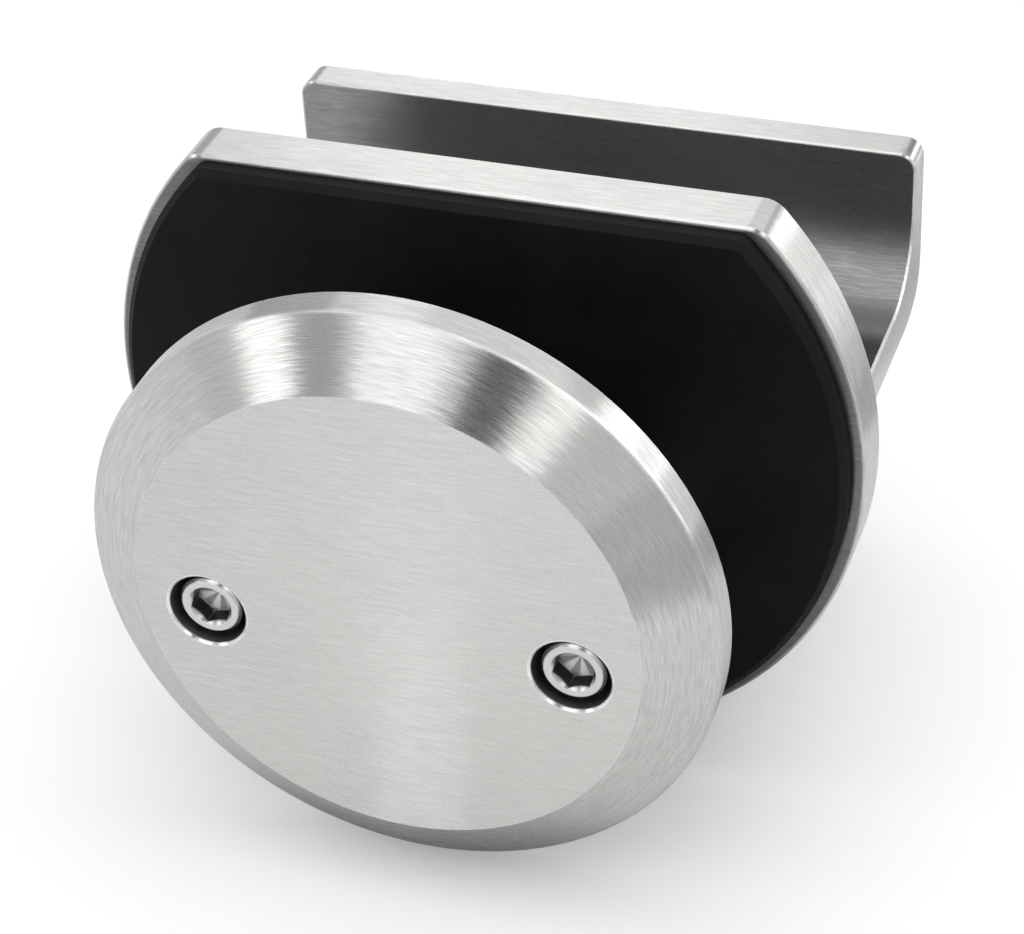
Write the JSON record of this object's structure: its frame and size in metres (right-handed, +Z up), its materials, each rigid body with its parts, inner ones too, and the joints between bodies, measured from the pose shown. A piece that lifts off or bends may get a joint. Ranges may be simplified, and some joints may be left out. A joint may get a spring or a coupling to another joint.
{
  "type": "glass support bar bracket",
  "caption": "Through-glass clamp bracket: a bevelled round cap and a flat-topped flange clamp the glass, and a support bar lies in the open slot behind.",
  "frame": {"origin": "on the cap's axis, at the face of the flange gasket that meets the glass", "axes": "+X along the support bar, +Y away from the cap, from the glass towards the bar, +Z up, out of the bar slot's open side"},
  "size_m": [0.104, 0.0961, 0.0886],
  "materials": {
    "brushed_steel": "brushed along the bar",
    "turned_steel": "face brushed in one direction, bevel and rim brushed round",
    "screw_steel": "satin",
    "black_rubber": "satin",
    "white_nylon": "moulded, matte"
  },
  "bodies": {
    "root": {"bracket_body": "brushed_steel", "flange_gasket": "black_rubber", "clamp_cap": "turned_steel", "cap_gasket": "black_rubber", "cap_screw_left": "screw_steel", "cap_screw_right": "screw_steel", "glass_sleeve_left": "white_nylon", "glass_sleeve_right": "white_nylon"}
  },
  "joints": []
}
